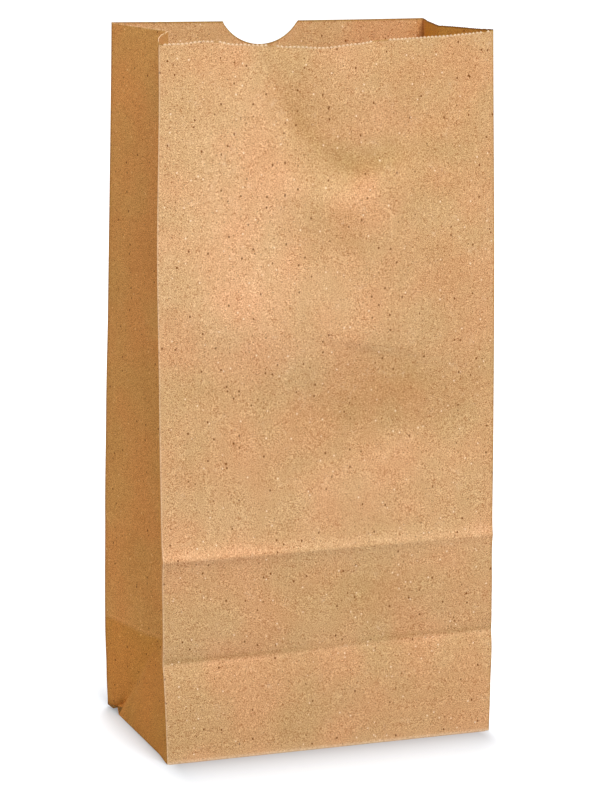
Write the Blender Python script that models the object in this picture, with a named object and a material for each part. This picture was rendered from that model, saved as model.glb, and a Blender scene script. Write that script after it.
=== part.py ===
"""Brown paper lunch bag, standing open: one sheet of paper, folded and glued.

Metres, +Z up. The origin is the centre of the underside. The plain front panel
faces -Y, the panel with the thumb notch and the lap seam faces +Y, and a gusset
is tucked in at each end of X.
"""
import math

import bmesh
import bpy
from mathutils import Vector

# Driving sizes of the sheet and its folds
WIDTH = 0.130
DEPTH = 0.077
HEIGHT = 0.269
PAPER = 0.00012

# How far each gusset's centre crease is pushed in, above its tucked foot and at the mouth
LEFT_TUCK_FOOT = 0.0119
LEFT_TUCK_MOUTH = 0.0130
RIGHT_TUCK_FOOT = 0.0100
RIGHT_TUCK_MOUTH = 0.0066

# The open mouth: each corner's shift along X and its height above or below HEIGHT
FRONT_LEFT_SHIFT = -0.0002
FRONT_RIGHT_SHIFT = -0.0018
BACK_RIGHT_SHIFT = -0.0005
BACK_LEFT_SHIFT = 0.0032
FRONT_LEFT_RISE = -0.0003
FRONT_RIGHT_RISE = 0.0005
BACK_RIGHT_RISE = -0.0022
BACK_LEFT_RISE = 0.0

# The folded ears of the foot push each corner out, most at the height of the ears
FRONT_LEFT_SPREAD = -0.0007
FRONT_RIGHT_SPREAD = 0.0010
BACK_RIGHT_SPREAD = 0.0009
BACK_LEFT_SPREAD = 0.0013
SPREAD_REACH = 0.035

# Soft shape of the panels between their folds
FOLD_BULGE = 0.0014
FRONT_BOW = 0.0050
BACK_BOW = -0.0025
FRONT_RIM_DIP = 0.0034
FRONT_DIP_CENTRE = -0.007
FRONT_DIP_REACH = 0.044

# Cross creases of the front panel, pressed in while the bag lay folded flat
LOW_CREASE_DEPTH = 0.0014
HIGH_CREASE_HEIGHT = 0.0014

# Pinked rim of the front panel and the gussets; the back panel's is cut straight
TOOTH_PITCH = 0.00155
TOOTH_DEPTH = 0.00055

# Thumb notch, cut in the back panel
NOTCH_WIDTH = 0.0308
NOTCH_DEPTH = 0.0092
NOTCH_OFFSET = -0.0025

# Lap seam down the back panel: the upper ply ends in a step outside, the lower one inside
SEAM_WIDTH = 0.012
SEAM_OFFSET = 0.034
SEAM_EDGE = 0.0003
SEAM_RUN_OUT = 0.025

# Glued flaps of the underside
FLAP_OVERLAP = 0.022
FLAP_CORNER_EASE = 0.0008
FLOOR_PLIES = 3

# Mesh density
FOLD_ROWS = 5
PANEL_CELLS = 14
WALL_ROW = 0.0115
RIM_BAND = 0.008
NOTCH_SEGMENTS = 96
CUTTER_REACH = 0.006

HALF_DEPTH = DEPTH / 2
FOLD_ROW = HALF_DEPTH / FOLD_ROWS
PANELS = ("front", "right", "back", "left")


def ease(t):
    """Smooth step from 0 to 1."""
    t = min(max(t, 0.0), 1.0)
    return t * t * (3 - 2 * t)


def mix(a, b, t):
    return a + (b - a) * t


def crease_tuck(side, z):
    """How far the gusset's centre crease is pushed in at height z."""
    foot, mouth = {
        "left": (LEFT_TUCK_FOOT, LEFT_TUCK_MOUTH),
        "right": (RIGHT_TUCK_FOOT, RIGHT_TUCK_MOUTH),
    }[side]
    return mix(foot, mouth, ease((z - HALF_DEPTH) / (HEIGHT - HALF_DEPTH)))


def gusset_section(side, run, z):
    """Distance back and inward of the paper at a run from the gusset's edge.

    The paper keeps its length. Below the foot's height the crease splits into two
    diagonals, so the paper turns flat again where the run passes the height z.
    """
    sine = crease_tuck(side, z) / HALF_DEPTH
    folded = min(run, z)
    return folded * math.sqrt(1 - sine * sine) + (run - folded), folded * sine


def fold_y(side, z):
    """Half the distance between the front and back folds at one side of the bag."""
    return gusset_section(side, HALF_DEPTH, z)[0]


def cross_creases(z):
    """Outward push of the front panel at its two cross creases."""
    valley = max(0.0, 1 - abs(z - HALF_DEPTH) / FOLD_ROW)
    ridge = max(0.0, 1 - abs(z - DEPTH) / FOLD_ROW)
    return HIGH_CREASE_HEIGHT * ridge - LOW_CREASE_DEPTH * valley


def corner(face, side, z):
    """Point on one of the four upright folds, at height z."""
    shift, spread = {
        ("front", "left"): (FRONT_LEFT_SHIFT, FRONT_LEFT_SPREAD),
        ("front", "right"): (FRONT_RIGHT_SHIFT, FRONT_RIGHT_SPREAD),
        ("back", "right"): (BACK_RIGHT_SHIFT, BACK_RIGHT_SPREAD),
        ("back", "left"): (BACK_LEFT_SHIFT, BACK_LEFT_SPREAD),
    }[face, side]
    out = -1 if side == "left" else 1
    bulge = FOLD_BULGE * math.sin(math.pi * min(z / HEIGHT, 1.0))
    bulge += spread * math.exp(-((z - HALF_DEPTH) / SPREAD_REACH) ** 2) * ease(z / FOLD_ROW)
    x = out * (WIDTH / 2 + bulge) + shift * ease(z / HEIGHT)
    if face == "back":
        return Vector((x, fold_y(side, z), z))
    return Vector((x, -fold_y(side, z) - cross_creases(z), z))


def panel_point(face, t, z):
    """Point of the front or back panel, a share t of the way from left to right."""
    point = corner(face, "left", z).lerp(corner(face, "right", z), t)
    arch = 4 * t * (1 - t) * ease(z / HEIGHT)
    point.y += BACK_BOW * arch if face == "back" else -FRONT_BOW * arch
    return point


def gusset_point(side, t, z):
    """Point of a gusset, a share t of the way from the front fold to the back fold."""
    near = corner("front", side, z)
    far = corner("back", side, z)
    run = DEPTH * min(t, 1 - t)
    back, inward = gusset_section(side, run, z)
    share = back / (2 * fold_y(side, z))
    point = near.lerp(far, share if t < 0.5 else 1 - share)
    point.x += inward if side == "left" else -inward
    return point


def rim_height(panel, t):
    """Height of the mouth's edge, without its teeth."""
    rises = {
        "front": (FRONT_LEFT_RISE, FRONT_RIGHT_RISE),
        "right": (FRONT_RIGHT_RISE, BACK_RIGHT_RISE),
        "back": (BACK_LEFT_RISE, BACK_RIGHT_RISE),
        "left": (FRONT_LEFT_RISE, BACK_LEFT_RISE),
    }[panel]
    height = HEIGHT + mix(*rises, t)
    if panel == "front":
        away = abs((t - 0.5) * WIDTH - FRONT_DIP_CENTRE) / FRONT_DIP_REACH
        height -= FRONT_RIM_DIP * math.cos(math.pi / 2 * min(away, 1.0)) ** 2
    return height


def sheet_point(panel, t, level):
    """Point of the bag's outer face at a level between 0 and HEIGHT.

    Above the cross creases the levels stretch or shrink to end at the rim.
    """
    z = level
    if level > DEPTH:
        z = DEPTH + (level - DEPTH) * (rim_height(panel, t) - DEPTH) / (HEIGHT - DEPTH)
    if panel in ("front", "back"):
        return panel_point(panel, t, z)
    return gusset_point(panel, t, z)


def stations():
    """Columns round the bag, anticlockwise from the front left fold, as (panel, t)."""
    across = [i / PANEL_CELLS for i in range(PANEL_CELLS)]
    gusset = [i / (2 * FOLD_ROWS) for i in range(2 * FOLD_ROWS)]
    seam_centre = 0.5 + SEAM_OFFSET / WIDTH
    seam_edges = []
    for side in (-1, 1):
        edge = seam_centre + side * SEAM_WIDTH / 2 / WIDTH
        seam_edges += [edge - SEAM_EDGE / 2 / WIDTH, edge + SEAM_EDGE / 2 / WIDTH]
    clear = 0.35 / PANEL_CELLS
    plain = [1 - t for t in across if all(abs(1 - t - edge) > clear for edge in seam_edges)]
    back = sorted(plain + seam_edges, reverse=True)
    ring = [("front", t) for t in across]
    ring += [("right", t) for t in gusset]
    ring += [("back", t) for t in back]
    ring += [("left", 1 - t) for t in gusset]
    return ring


def column_end(ring, index):
    """Share at which the column after this one stands, on this column's own panel."""
    panel = ring[index][0]
    following, t = ring[(index + 1) % len(ring)]
    if following == panel:
        return t
    return 1.0 if panel in ("front", "right") else 0.0


def rim_stations(ring):
    """Columns of the rim: for each cell of the ring, its (panel, t, is_tip)."""
    cells = []
    for index, (panel, start) in enumerate(ring):
        end = column_end(ring, index)
        length = abs(end - start) * (WIDTH if panel == "front" else DEPTH)
        teeth = 0 if panel == "back" else round(length / TOOTH_PITCH)
        steps = max(2 * teeth, 1)
        cells.append([(panel, mix(start, end, k / steps), k % 2 == 1) for k in range(steps)])
    return cells


def seam_plies(panel, t):
    """Shift back of the outer and the inner face where the sheet's two edges lap.

    Beside the lap the upper ply is the panel itself, and runs out to its plane.
    """
    if panel != "back":
        return 0.0, 0.0
    run = (0.5 - t) * WIDTH + SEAM_OFFSET + SEAM_WIDTH / 2
    if run < 0:
        return 0.0, 0.0
    if run < SEAM_WIDTH:
        return PAPER, 0.0
    rest = PAPER * (1 - ease((run - SEAM_WIDTH) / SEAM_RUN_OUT))
    return rest, rest


def inset(points):
    """A closed outline moved inward by the paper's thickness, corners mitred."""
    moved = []
    count = len(points)
    for index, point in enumerate(points):
        before = (point - points[index - 1]).to_2d().normalized()
        after = (points[(index + 1) % count] - point).to_2d().normalized()
        normal_before = Vector((-before.y, before.x))
        normal_after = Vector((-after.y, after.x))
        bisector = (normal_before + normal_after).normalized()
        reach = PAPER / bisector.dot(normal_after)
        moved.append(point + reach * bisector.to_3d())
    return moved


def wall_levels():
    """Heights of the mesh rows, from the bottom fold to just below the rim."""
    levels = [i * FOLD_ROW for i in range(2 * FOLD_ROWS + 2)]
    top = HEIGHT - RIM_BAND
    rows = max(1, round((top - levels[-1]) / WALL_ROW))
    return levels + [mix(levels[-1], top, (i + 1) / rows) for i in range(rows)]


def add_wall(mesh, lower, upper, ring, flip):
    """Two triangles between each pair of columns, split along the gusset's creases."""
    count = len(ring)
    for index, (panel, t) in enumerate(ring):
        after = (index + 1) % count
        a, b = lower[index], lower[after]
        c, d = upper[after], upper[index]
        rising = (panel == "right" and t < 0.5) or (panel == "left" and t > 0.5)
        pair = ((a, b, c), (a, c, d)) if rising else ((a, b, d), (b, c, d))
        for face in pair:
            mesh.faces.new(face[::-1] if flip else face)


def add_rim_band(mesh, lower, rim_cells, flip):
    """Fans from the last plain row up to the rim."""
    count = len(lower)
    for index, cell in enumerate(rim_cells):
        a, b = lower[index], lower[(index + 1) % count]
        edge = cell + [rim_cells[(index + 1) % count][0]]
        middle = len(edge) // 2
        faces = [(a, edge[k + 1], edge[k]) for k in range(middle)]
        faces.append((a, b, edge[middle]))
        faces += [(b, edge[k + 1], edge[k]) for k in range(middle, len(edge) - 1)]
        for face in faces:
            mesh.faces.new(face[::-1] if flip else face)


def add_rim_vertices(mesh, cells):
    """Outer and inner vertices of the rim, cell by cell."""
    flat = [station for cell in cells for station in cell]
    outline = [sheet_point(panel, t, HEIGHT) for panel, t, tip in flat]
    outer, inner = [], []
    for station, point, inward in zip(flat, outline, inset(outline)):
        panel, t, tip = station
        drop = 0 if tip or panel == "back" else -TOOTH_DEPTH
        outside, inside = seam_plies(panel, t)
        outer.append(mesh.verts.new(point + Vector((0, outside, drop))))
        inner.append(mesh.verts.new(inward + Vector((0, inside, drop))))
    return regroup(outer, cells), regroup(inner, cells)


def regroup(vertices, cells):
    """Split a flat list of vertices into the same cells as the stations."""
    groups = []
    start = 0
    for cell in cells:
        groups.append(vertices[start:start + len(cell)])
        start += len(cell)
    return groups


def build_sheet():
    """The folded sheet as one closed shell: walls, toothed rim, floor and underside."""
    mesh = bmesh.new()
    ring = stations()
    cells = rim_stations(ring)
    floor = FLOOR_PLIES * PAPER
    outer_rows, inner_rows = [], []
    for level in wall_levels():
        outline = [sheet_point(panel, t, level) for panel, t in ring]
        plies = [seam_plies(panel, t) for panel, t in ring]
        inward = inset(outline)
        for point, inner, (outside, inside) in zip(outline, inward, plies):
            point.y += outside
            inner.y += inside
            if level == 0:
                inner.z = floor
        outer_rows.append([mesh.verts.new(point) for point in outline])
        inner_rows.append([mesh.verts.new(point) for point in inward])
    for lower, upper in zip(outer_rows, outer_rows[1:]):
        add_wall(mesh, lower, upper, ring, flip=False)
    for lower, upper in zip(inner_rows, inner_rows[1:]):
        add_wall(mesh, lower, upper, ring, flip=True)
    outer_rim, inner_rim = add_rim_vertices(mesh, cells)
    add_rim_band(mesh, outer_rows[-1], outer_rim, flip=False)
    add_rim_band(mesh, inner_rows[-1], inner_rim, flip=True)
    outer_edge = [vertex for cell in outer_rim for vertex in cell]
    inner_edge = [vertex for cell in inner_rim for vertex in cell]
    for k, vertex in enumerate(outer_edge):
        after = (k + 1) % len(outer_edge)
        mesh.faces.new((vertex, outer_edge[after], inner_edge[after], inner_edge[k]))
    mesh.faces.new(outer_rows[0][::-1])
    mesh.faces.new(inner_rows[0])
    bmesh.ops.triangulate(mesh, faces=mesh.faces[:])
    return mesh


def object_from(mesh, name):
    data = bpy.data.meshes.new(name)
    mesh.to_mesh(data)
    mesh.free()
    item = bpy.data.objects.new(name, data)
    bpy.context.collection.objects.link(item)
    return item


def cutter_from(mesh, name):
    """A guide solid that is only used to cut, and doesn't show."""
    item = object_from(mesh, name)
    item.hide_render = True
    item.display_type = "WIRE"
    return item


def prism(outline, low, high):
    """Upright prism over an outline given anticlockwise."""
    mesh = bmesh.new()
    base = mesh.faces.new([mesh.verts.new((x, y, low)) for x, y in outline])
    base.normal_flip()
    top = bmesh.ops.extrude_face_region(mesh, geom=[base])["geom"]
    lifted = [item for item in top if isinstance(item, bmesh.types.BMVert)]
    bmesh.ops.translate(mesh, verts=lifted, vec=(0, 0, high - low))
    bmesh.ops.recalc_face_normals(mesh, faces=mesh.faces[:])
    return mesh


def front_flap_step():
    """Space beside and behind the front flap, which laps over all the others."""
    side = WIDTH / 2
    ease_y = -HALF_DEPTH + FLAP_CORNER_EASE
    free_y = FLAP_OVERLAP / 2
    free_x = side - (free_y - ease_y)
    out_x = side + CUTTER_REACH
    out_y = HALF_DEPTH + CUTTER_REACH
    outline = [
        (out_x, ease_y), (out_x, out_y), (-out_x, out_y), (-out_x, ease_y),
        (-side, ease_y), (-free_x, free_y), (free_x, free_y), (side, ease_y),
    ]
    return cutter_from(prism(outline, -CUTTER_REACH, PAPER), "front_flap_step")


def gusset_flap_step(out):
    """Space under one gusset's flap, which the front and back flaps lap over."""
    side = WIDTH / 2
    ease_y = HALF_DEPTH - FLAP_CORNER_EASE
    free_y = FLAP_OVERLAP / 2
    front_x = side - (free_y + ease_y)
    back_x = side - (ease_y - free_y)
    out_x = side + CUTTER_REACH
    outline = [
        (out_x, -ease_y), (out_x, ease_y), (side, ease_y),
        (back_x, free_y), (front_x, free_y), (side, -ease_y),
    ]
    if out < 0:
        outline = [(-x, y) for x, y in outline[::-1]]
    name = "left_flap_step" if out < 0 else "right_flap_step"
    return cutter_from(prism(outline, -CUTTER_REACH, 2 * PAPER), name)


def thumb_notch():
    """Round cutter whose lower arc leaves the notch in the back panel."""
    half = NOTCH_WIDTH / 2
    radius = (half * half + NOTCH_DEPTH * NOTCH_DEPTH) / (2 * NOTCH_DEPTH)
    share = 0.5 + NOTCH_OFFSET / WIDTH
    rim = rim_height("back", share)
    mesh = bmesh.new()
    bmesh.ops.create_cone(
        mesh, cap_ends=True, segments=NOTCH_SEGMENTS,
        radius1=radius, radius2=radius, depth=DEPTH,
    )
    item = cutter_from(mesh, "thumb_notch_cutter")
    item.rotation_euler = (math.pi / 2, 0, 0)
    item.location = (NOTCH_OFFSET, HALF_DEPTH, rim - NOTCH_DEPTH + radius)
    return item


def brown_paper():
    material = bpy.data.materials.new("brown_paper")
    material.use_nodes = True
    shader = material.node_tree.nodes["Principled BSDF"]
    shader.inputs["Base Color"].default_value = (0.62, 0.38, 0.18, 1)
    shader.inputs["Roughness"].default_value = 0.85
    shader.inputs["Metallic"].default_value = 0.0
    material.diffuse_color = (0.62, 0.38, 0.18, 1)
    return material


def main():
    for item in list(bpy.data.objects):
        bpy.data.objects.remove(item, do_unlink=True)
    bag = object_from(build_sheet(), "paper_bag")
    bag.data.materials.append(brown_paper())
    cutters = [front_flap_step(), gusset_flap_step(-1), gusset_flap_step(1), thumb_notch()]
    for cutter in cutters:
        cut = bag.modifiers.new(cutter.name, "BOOLEAN")
        cut.operation = "DIFFERENCE"
        cut.solver = "EXACT"
        cut.object = cutter


main()
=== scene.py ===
"""Looks of the brown paper lunch bag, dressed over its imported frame.

Laid out as a Blender add-on and run as a script. Metres, +Z up, front panel at -Y.
"""

import math

import bmesh
import bpy
import numpy as np
from bpy.props import FloatProperty, FloatVectorProperty, IntProperty, PointerProperty
from mathutils import Matrix, Vector


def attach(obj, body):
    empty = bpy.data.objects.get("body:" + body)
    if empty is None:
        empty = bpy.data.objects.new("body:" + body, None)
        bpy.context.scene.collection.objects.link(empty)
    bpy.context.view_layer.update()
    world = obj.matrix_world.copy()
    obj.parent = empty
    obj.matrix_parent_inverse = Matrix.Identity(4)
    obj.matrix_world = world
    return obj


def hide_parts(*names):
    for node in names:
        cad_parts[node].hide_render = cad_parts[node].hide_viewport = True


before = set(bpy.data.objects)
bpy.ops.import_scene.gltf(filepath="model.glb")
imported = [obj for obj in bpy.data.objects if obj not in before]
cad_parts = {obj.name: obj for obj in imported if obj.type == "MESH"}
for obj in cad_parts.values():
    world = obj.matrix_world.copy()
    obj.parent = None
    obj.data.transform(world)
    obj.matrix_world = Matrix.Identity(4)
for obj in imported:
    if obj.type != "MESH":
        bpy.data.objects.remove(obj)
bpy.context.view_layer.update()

bl_info = {
    "name": "Paper Lunch Bag",
    "version": (1, 0, 0),
    "blender": (4, 5, 0),
    "location": "View3D > Sidebar > Lunch Bag",
    "description": "Builds a folded brown paper lunch bag, its paper and a plain studio",
    "category": "Object",
}

BAG_NODE = "paper_bag"
BAG_BODY = "root"
MM = 0.001
SIDES = {"left": -1.0, "right": 1.0}
# Least divisor, and how far apart two heights in metres still count as one
TINY, LEVEL_SLACK = 1e-6, 1e-9

# Plies of the glued flaps, on which the sheet's own bottom lies
FLAP_PLIES = 2

# Soft creases of the front panel. Each has two ends (across, up) in millimetres, its
# push outwards, and how far it reaches to the upper and to the lower side of its line.
FRONT_CREASE_STRENGTH = 1.4
FRONT_CREASES = (
    # the shallow V under the mouth, and the puckers below it
    ((-31, 262), (-13, 238), -0.55, 15, 13),
    ((-14, 240), (3, 220), -1.00, 17, 10),
    ((3, 220), (26, 229), -1.00, 16, 9),
    ((-16, 217), (-3, 211), 0.45, 6, 8),
    ((4, 208), (26, 214), 0.65, 9, 12),
    ((-18, 196), (6, 190), -0.35, 12, 10),
    ((-6, 148), (19, 163), 0.40, 6, 8),
    # the wide swell of the upper left and the hollow across the middle
    ((-62, 172), (-12, 160), 1.30, 40, 16),
    ((-10, 130), (46, 122), -1.15, 22, 18),
    ((-17, 107), (15, 118), -0.45, 9, 9),
    ((30, 196), (60, 176), 0.50, 24, 20),
    ((40, 262), (46, 214), -0.45, 12, 16),
    # crumples at the rim
    ((-21, 267), (-11, 264), -0.35, 1.6, 2.2),
    ((16, 267.5), (21, 266), -0.28, 1.2, 1.8),
    # faint ones between the two cross creases and at the foot
    ((2, 70), (24, 48), -0.35, 10, 8),
    ((28, 45), (64, 48), -0.30, 8, 2.4),
    ((0, 34), (9, 22), 0.30, 10, 9),
)

# Soft creases of the back panel, in the same way
BACK_CREASES = (
    # wide swells
    ((-40, 190), (30, 170), 0.9, 30, 26),
    ((-20, 110), (50, 120), -0.9, 26, 24),
    ((10, 60), (50, 52), 0.5, 16, 14),
    ((-55, 60), (-20, 66), -0.4, 14, 12),
    # crumples at the rim, near the left fold
    ((-47.5, 268.5), (-44.5, 264.5), -0.40, 0.8, 0.8),
    ((-45.3, 268.5), (-42.5, 265), 0.35, 0.7, 0.8),
    ((-43.2, 268.8), (-40.5, 266), -0.35, 0.7, 0.8),
)

# Painted light and shade on the front panel's paper: (across, up) in millimetres,
# half widths, and the share by which the paper is painted paler or darker there.
FRONT_SHADING_STRENGTH = 1.8
FRONT_PAINTED_SHADING = (
    ((-38, 202), (30, 50), 0.056),
    ((-26, 174), (26, 26), 0.040),
    ((-14, 246), (9, 20), -0.030),
    ((4, 226), (20, 8), -0.035),
    ((8, 213), (18, 7), 0.025),
    ((-10, 198), (10, 8), -0.025),
    ((42, 226), (30, 48), -0.040),
    ((6, 262), (8, 7), 0.030),
    ((-38, 140), (24, 12), -0.028),
    ((22, 134), (36, 19), -0.085),
    ((-50, 140), (14, 8), -0.025),
    ((38, 96), (26, 16), 0.015),
    ((-40, 92), (24, 14), 0.015),
    ((0, 57), (70, 15), -0.030),
    ((16, 60), (14, 9), -0.035),
    ((0, 16), (80, 20), -0.035),
    ((8, 12), (14, 10), 0.025),
)

# Painted shade and painted light along the front panel's creases, and a painted reflection along
# its foot: two ends (across, up) in millimetres, the share, and how far it reaches to the upper
# and to the lower side.
FRONT_CREASE_SHADING = (
    ((-24, 259), (-12, 240), -0.080, 9, 4),
    ((-12, 240), (9, 222), -0.080, 8, 3.5),
    ((9, 222), (28, 223.5), -0.070, 5, 2.5),
    ((2, 211), (16, 217), 0.050, 2.5, 3),
    ((14, 216), (27, 222), 0.055, 2, 4),
    ((-12, 211), (8, 204), -0.070, 3, 5),
    ((-19, 221), (-12, 216), 0.060, 3, 3),
    ((3, 197), (12, 192), -0.060, 4, 4),
    ((-10, 99), (29, 120), 0.050, 3, 12),
    ((-60, 0), (60, 0), 0.060, 3, 3),
)


# Settings

def number_setting(name, description, default, unit="NONE"):
    return FloatProperty(name=name, description=description, default=default, unit=unit,
                         precision=5)


def length_setting(name, description, default):
    return number_setting(name, description, default, "LENGTH")


def angle_setting(name, description, degrees):
    return number_setting(name, description, math.radians(degrees), "ROTATION")


def colour_setting(name, description, default):
    return FloatVectorProperty(name=name, description=description, default=default,
                               subtype="COLOR", size=3)


class BagSizes(bpy.types.PropertyGroup):
    """Sizes of the folded sheet."""

    width: length_setting("Width", "Across the front panel", 0.130)
    depth: length_setting("Depth", "From the front fold to the back fold", 0.077)
    height: length_setting("Height", "From the floor to the tips of the teeth", 0.269)
    paper: length_setting("Paper", "Thickness of the paper", 0.00012)
    tooth_pitch: length_setting("Tooth Pitch", "Distance between two teeth", 0.00155)
    tooth_depth: length_setting("Tooth Depth", "Depth of the pinked edge", 0.00055)
    notch_width: length_setting("Notch Width", "Width of the thumb notch", 0.0311)
    notch_depth: length_setting("Notch Depth", "Depth of the thumb notch", 0.0088)
    notch_offset: length_setting("Notch Offset", "Notch centre from the panel's middle", -0.0047)
    seam_width: length_setting("Seam Width", "Lap of the sheet's two edges", 0.012)
    seam_offset: length_setting("Seam Offset", "Lap centre from the panel's middle", 0.034)
    flap_overlap: length_setting("Flap Overlap", "Lap of the two base flaps", 0.022)
    ripple_height: length_setting("Ripple Height", "Unevenness of the sheet", 0.00022)
    ripple_size: length_setting("Ripple Size", "Distance between two ripples", 0.022)
    seed: IntProperty(name="Seed", description="Picks the ripples and the teeth's wander",
                      default=7, min=0)


class PaperColours(bpy.types.PropertyGroup):
    """Colours of the paper, as linear values."""

    sheet: colour_setting("Paper", "Main colour of the paper", (0.664, 0.394, 0.182))
    blush: colour_setting("Blush", "Pinkish patches of the pulp", (0.696, 0.373, 0.172))
    inside: colour_setting("Inside", "Inner face of the paper", (0.674, 0.416, 0.195))
    fleck: colour_setting("Fleck", "Bark flecks in the pulp", (0.190, 0.050, 0.0))
    fibre: colour_setting("Fibre", "Pale fibres and cut edges", (0.960, 0.740, 0.500))
    # painted shade: the gussets are painted darker and warmer than the panels
    gusset_shade_tint: colour_setting("Gusset Shade Tint", "Painted shade of the gussets", (1.0, 0.737, 0.296))
    # painted shade: the inner face is painted darker in the mouth
    lining_shade_tint: colour_setting("Lining Shade Tint", "Painted shade in the mouth", (1.0, 0.79, 0.155))


class StudioSettings(bpy.types.PropertyGroup):
    """Camera and light."""

    lens: number_setting("Lens", "Focal length in millimetres", 146.64)
    distance: length_setting("Distance", "Camera to target", 1.2425)
    azimuth: angle_setting("Azimuth", "Camera's turn round the bag", -19.115)
    elevation: angle_setting("Elevation", "Camera's rise above the horizon", 12.077)
    roll: angle_setting("Roll", "Camera's turn about its own axis", 0.12)
    target: FloatVectorProperty(name="Target", description="Point that the camera looks at",
                                size=3, default=(0.001, 0.0, 0.1267), unit="LENGTH")
    key_power: number_setting("Key", "Power of the key light", 22.5)
    top_power: number_setting("Top", "Power of the light above", 11.0)
    fill_power: number_setting("Fill", "Power of the low light at the left", 2.2)
    sky: number_setting("Sky", "Strength of the even light", 0.42)


# Form of the folded sheet

# How far each gusset's centre crease is pushed in, above its tucked foot and at the mouth
TUCKS = {"left": (11.9 * MM, 13.0 * MM), "right": (10.0 * MM, 7.8 * MM)}
# Shift of each corner of the mouth along X, and its rise above the nominal height
MOUTH_SHIFT = {
    ("front", "left"): -0.2 * MM, ("front", "right"): -2.3 * MM,
    ("back", "left"): 3.2 * MM, ("back", "right"): -0.5 * MM,
}
MOUTH_RISE = {
    ("front", "left"): -0.3 * MM, ("front", "right"): 0.5 * MM,
    ("back", "left"): 0.0, ("back", "right"): -2.2 * MM,
}
# Outward bulge of the upright folds at half the height
FOLD_BULGE = 1.4 * MM
# Wander of the upright folds along X: (height, shift) in millimetres
FOLD_DRIFT = {
    ("front", "left"): ((0, 0.7), (40, 0.75), (95, 0.8), (140, 0.6), (195, 0.0), (245, 0.4),
                        (269, 0.2)),
    ("front", "right"): ((0, 0.0), (18, 0.4), (35, 1.0), (55, 0.4), (75, 0.0), (110, 0.1),
                         (200, 0.4), (269, 0.3)),
    ("back", "left"): ((0, -0.6), (14, -1.0), (35, -1.45), (80, -1.0), (120, -0.6),
                       (160, -0.2), (269, -0.2)),
    ("back", "right"): ((0, 0.0), (35, 0.9), (80, 0.2), (269, 0.0)),
}
# Outward bow of the panels' middle at the mouth
PANEL_BOW = {"front": 5.0 * MM, "back": -2.5 * MM}
# Sag of the front panel's rim: (across, drop) in millimetres
RIM_SAG = ((-65, 0.6), (-57, 0.5), (-49, -0.2), (-44, 0.0), (-37, 1.3), (-27, 1.8), (-16, 2.8),
           (-3, 3.5), (9, 2.6), (19, 1.5), (29, 1.4), (44, 1.2), (54, 0.8), (65, 0.2))
# Drop of the right gusset's rim between its ends, and radius of the upright folds
RIGHT_RIM_DROP, FOLD_RADIUS = 0.4 * MM, 0.35 * MM
# Along the paper, how far from an upright fold a panel's soft creases reach full height
PANEL_EDGE = 9 * MM
# The same for the sheet's ripples, and how far above the floor they do
RIPPLE_EDGE, RIPPLE_FOOT = 12 * MM, 14 * MM
# How round the crest of a soft crease is, and the power of its fall to both sides
CREASE_SOFTNESS, CREASE_POWER = 0.6 * MM, 1.35

# The front panel's cross creases: their push, how far each reaches above and below its
# line, and how much stronger each is at the two sides than in the middle
CROSS_PUSH = 1.60 * MM
LOW_REACH, HIGH_REACH = (5.5 * MM, 8 * MM), (3.3 * MM, 4 * MM)
LOW_MIDDLE, LOW_LEFT, LOW_RIGHT = 0.45, 0.55, 0.45
HIGH_MIDDLE, HIGH_LEFT, HIGH_RIGHT = 0.75, 0.35, -0.15
# Rise of the low one in the middle and its slant, and rise of the high one
LOW_RISE, LOW_SLANT, HIGH_RISE = 0.25 * MM, 1.05 * MM, 0.8 * MM

# The slack ear over the left gusset's foot: how far along the paper it reaches from the
# back fold, its sag and how far that leans to the fold, its bulge over the recess, and
# the run over which the gap below it closes
EAR_REACH = 31.0 * MM
EAR_SAG, EAR_SKEW = 6.6 * MM, 0.72
EAR_BULGE = 1.1 * MM
EAR_RECESS = 0.3 * MM
EAR_GAP, EAR_GAP_END = 10.8 * MM, 12.3 * MM

# The gussets: slack swell, and cross creases at half the depth and at the full depth,
# with how far they reach above and below
GUSSET_SWELL = 0.7 * MM
GUSSET_LOW, GUSSET_LOW_REACH = 0.30 * MM, (1.6 * MM, 9 * MM)
GUSSET_HIGH, GUSSET_HIGH_REACH = 0.22 * MM, 4 * MM
# Curl of their front halves at the rim, and the heights between which it sets in
RIM_CURL, CURL_FROM, CURL_TO = 1.5 * MM, 215 * MM, 265 * MM
# Inward lean of the tucked foot, and how it fades upwards and towards the fold
FOOT_LEAN, LEAN_HEIGHT, LEAN_EDGE = 0.9 * MM, 9 * MM, 14 * MM
# Drop of the apex where the diagonals meet, and how far above and below it reaches
APEX_DROP, APEX_REACH = 1.3 * MM, 14 * MM
# The base's back left corner, which stays clear of the floor, and its reach beside and up
CORNER_LIFT, CORNER_REACH, CORNER_HEIGHT = 1.0 * MM, 13 * MM, 9 * MM


def smooth(t):
    """Smooth step from 0 to 1."""
    t = np.clip(t, 0.0, 1.0)
    return t * t * (3 - 2 * t)


def bell(gap, reach):
    """1 on a line, falling off softly with the gap from it."""
    return np.exp(-(gap / reach) ** 2)


def fade(gap, reach):
    """1 on a line, falling off in a sharp crest with the gap from it."""
    return np.exp(-np.abs(gap) / reach)


def uneven_fade(gap, reach):
    """A crest with one reach above its line and another below."""
    return fade(gap, np.where(gap > 0, *reach))


def arch(share):
    """0 at shares 0 and 1, and 1 between them."""
    return np.sin(np.pi * np.clip(share, 0, 1))


def eased_path(z, knots):
    """Value at heights z of a path that eases from knot to knot, in millimetres."""
    total = np.full_like(z, knots[0][1])
    for (low, start), (high, end) in zip(knots, knots[1:]):
        total += (end - start) * smooth((z / MM - low) / (high - low))
    return total * MM


def crease_tuck(size, side, z):
    """How far a gusset's centre crease is pushed in at height z."""
    foot, mouth = TUCKS[side]
    half = size.depth / 2
    return foot + (mouth - foot) * smooth((z - half) / (size.height - half))


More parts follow.
